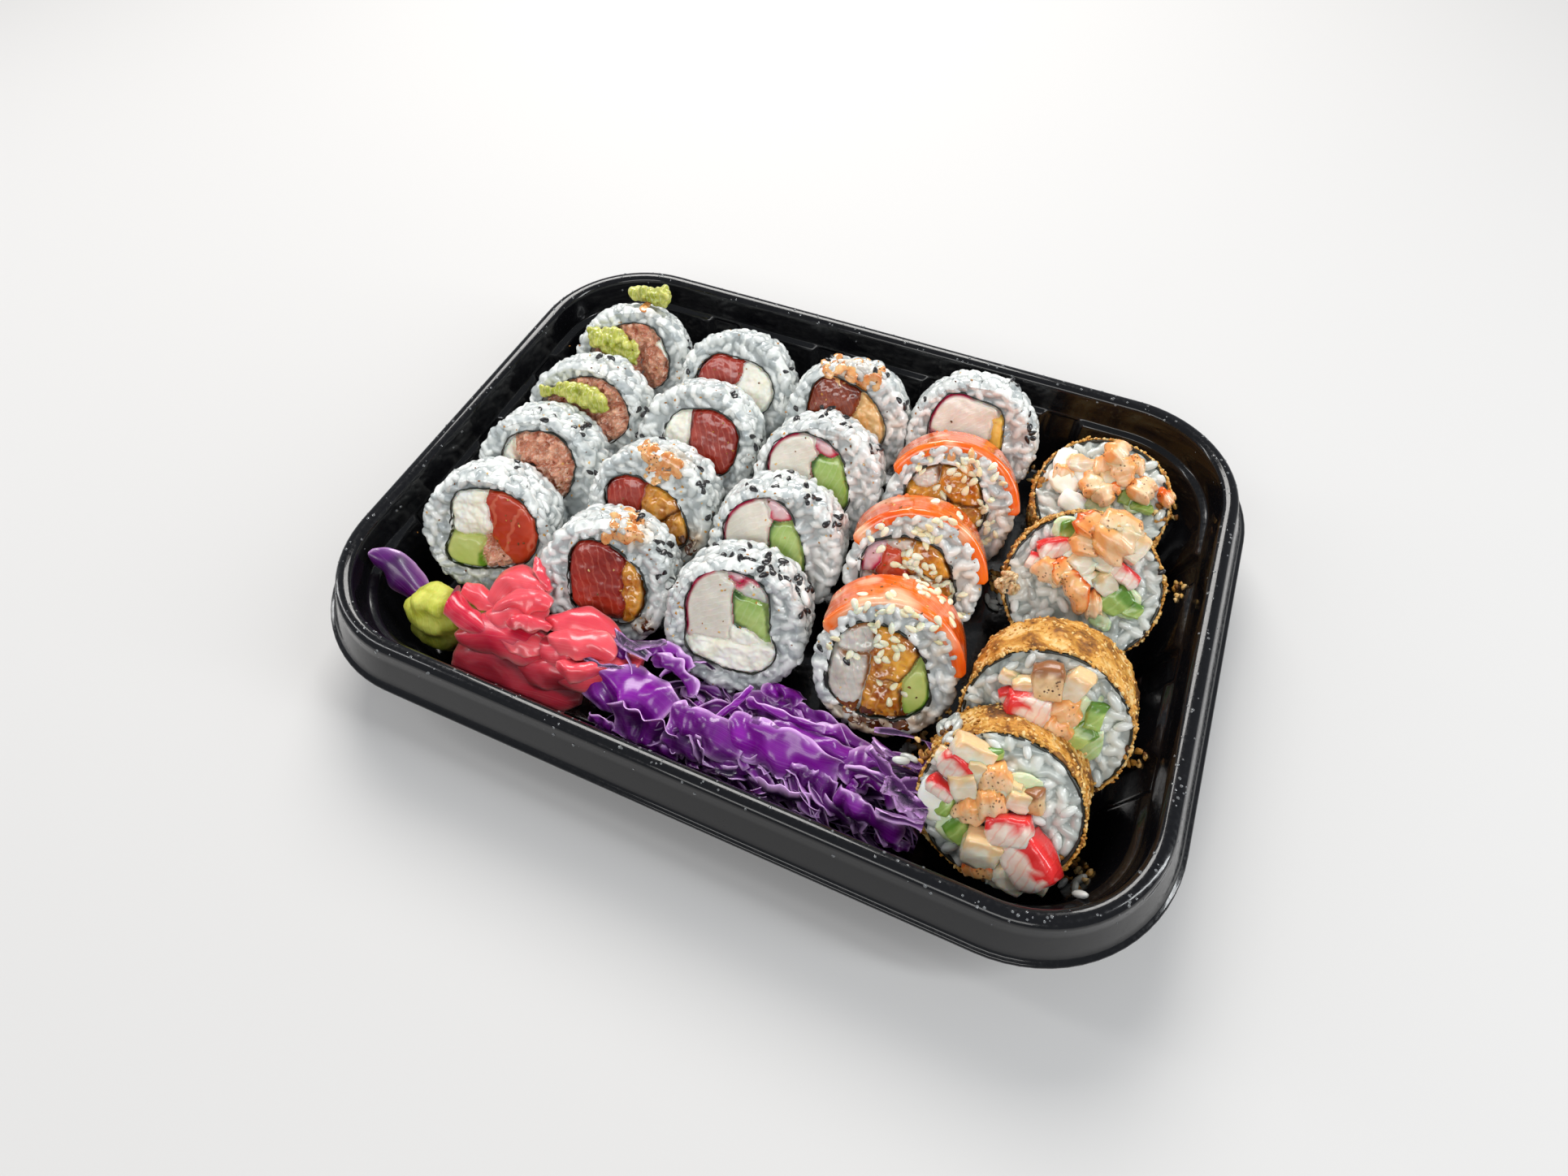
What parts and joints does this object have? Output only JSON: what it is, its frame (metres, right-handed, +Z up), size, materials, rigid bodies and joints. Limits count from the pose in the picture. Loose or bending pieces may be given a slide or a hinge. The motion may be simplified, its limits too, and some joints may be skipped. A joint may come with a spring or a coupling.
{
  "type": "takeaway sushi tray",
  "caption": "Black thermoformed takeaway tray filled with rows of cut sushi rolls, with pickled ginger, wasabi and shredded red cabbage along the front wall.",
  "frame": {"origin": "on the table under the middle of the tray", "axes": "+X along the tray's long side towards the fried rolls, +Y away from the garnish, +Z up"},
  "size_m": [0.2688, 0.1982, 0.0565],
  "materials": {
    "tray": "glossy black thermoformed plastic",
    "rice": "moist cooked white rice",
    "crust": "deep-fried golden crumb",
    "salmon": "moist raw salmon",
    "mash": "soft avocado mash",
    "chopped": "moist chopped shrimp and crab stick",
    "crumb": "crisp fried batter",
    "wasabi": "dense green paste",
    "ginger": "moist pickled ginger",
    "cabbage": "shredded red cabbage"
  },
  "bodies": {
    "root": {"tray": "tray", "roll_a1": "rice", "roll_a2": "rice", "roll_a3": "rice", "roll_a4": "rice", "roll_b1": "rice", "roll_b2": "rice", "roll_b3": "rice", "roll_b4": "rice", "roll_c1": "rice", "roll_c2": "rice", "roll_c3": "rice", "roll_c4": "rice", "roll_d1": "rice", "roll_d2": "rice", "roll_d3": "rice", "roll_d4": "rice", "roll_e1": "crust", "roll_e2": "crust", "roll_e3": "crust", "roll_e4": "crust", "salmon_slice_d2": "salmon", "salmon_slice_d3": "salmon", "salmon_slice_d4": "salmon", "topping_e1": "chopped", "topping_e2": "chopped", "topping_e3": "chopped", "topping_e4": "chopped", "avocado_mash_a1": "mash", "avocado_mash_a2": "mash", "avocado_mash_top": "mash", "tempura_crumb": "crumb", "shrimp_piece": "chopped", "wasabi": "wasabi", "ginger": "ginger", "cabbage": "cabbage", "cabbage_leaf": "cabbage"}
  },
  "joints": []
}
